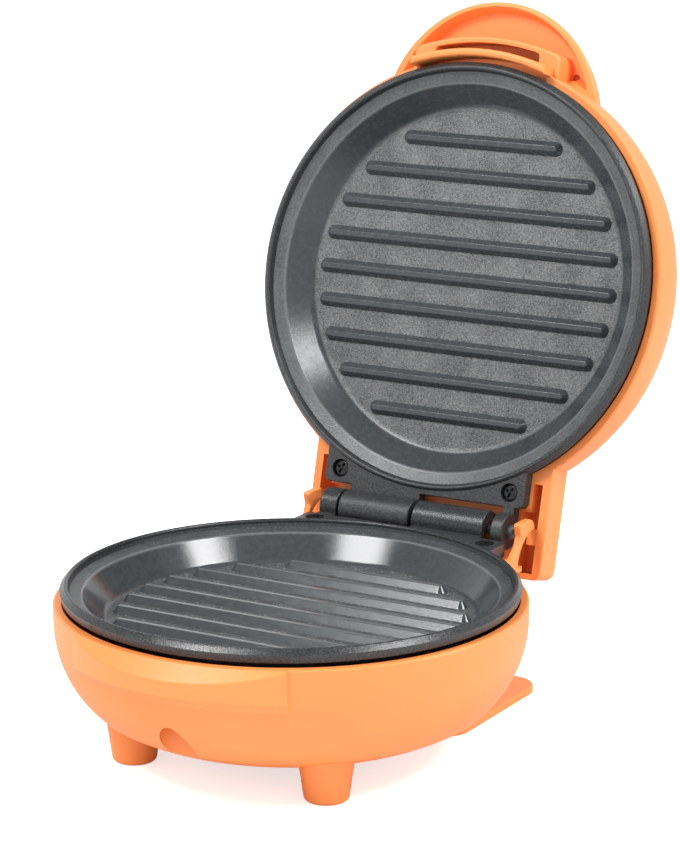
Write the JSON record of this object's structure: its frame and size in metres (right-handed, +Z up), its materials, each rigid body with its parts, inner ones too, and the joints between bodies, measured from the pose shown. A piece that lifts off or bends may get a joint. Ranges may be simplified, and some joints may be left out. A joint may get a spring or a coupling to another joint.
{
  "type": "mini griddle",
  "caption": "Round clamshell mini griddle: footed bowl and domed lid with a finger handle, each with a ribbed non-stick plate, joined at a rear hinge and standing open.",
  "frame": {"origin": "on the table, under the middle of the open griddle's bounding box", "axes": "+X to the right seen from the front, +Y from the front lip to the hinge, +Z up"},
  "size_m": [0.1262, 0.2, 0.187],
  "materials": {
    "orange_moulding": "satin, heat-resistant",
    "nonstick_casting": "dark non-stick coating with fine speckle",
    "black_screw": "black oxide",
    "plated_steel": "zinc plated",
    "pin_steel": "dull",
    "element_sheath": "heat-darkened",
    "ceramic_white": "unglazed",
    "aluminised_sheet": "aluminised",
    "black_phenolic": "moulded",
    "inlet_rubber": "matt",
    "lens_red": "translucent",
    "lamp_glass": "clear",
    "holder_nylon": "natural",
    "sleeve_fabric": "woven glass",
    "wire_black": "silicone"
  },
  "bodies": {
    "base": {"base_clip_screws": "plated_steel", "base_element_clips": "plated_steel", "base_element_terminals": "ceramic_white", "base_element_wires": "wire_black", "base_front_screw": "black_screw", "base_heat_shield": "aluminised_sheet", "base_heating_element": "element_sheath", "base_plate": "nonstick_casting", "base_plate_screws": "black_screw", "base_shell": "orange_moulding", "base_shield_screws": "plated_steel", "control_wires": "wire_black", "cord_inlet_bush": "inlet_rubber", "fuse_clip": "plated_steel", "fuse_clip_screw": "plated_steel", "hinge_leads": "wire_black", "hinge_pin": "pin_steel", "hinge_pin_ring": "plated_steel", "terminal_block": "ceramic_white", "terminal_block_screws": "plated_steel", "terminal_screws": "plated_steel", "thermal_fuse": "sleeve_fabric", "thermostat": "black_phenolic", "thermostat_bracket": "plated_steel", "thermostat_screws": "plated_steel"},
    "lid": {"lid_clip_screws": "plated_steel", "lid_element_clips": "plated_steel", "lid_element_terminals": "ceramic_white", "lid_front_screw": "black_screw", "lid_heat_shield": "aluminised_sheet", "lid_heating_element": "element_sheath", "lid_plate": "nonstick_casting", "lid_plate_screws": "black_screw", "lid_shell": "orange_moulding", "lid_shield_screws": "plated_steel", "indicator_lens": "lens_red", "neon_lamp": "lamp_glass", "lamp_holder": "holder_nylon", "lamp_wires": "wire_black"}
  },
  "joints": [
    {"name": "lid_hinge", "type": "hinge", "parent": "base", "child": "lid", "pos_m": [0, 0.03537, 0.04626], "axis": [1, 0, 0], "range_deg": [0, 104.7], "deforming": ["hinge_leads"]}
  ]
}
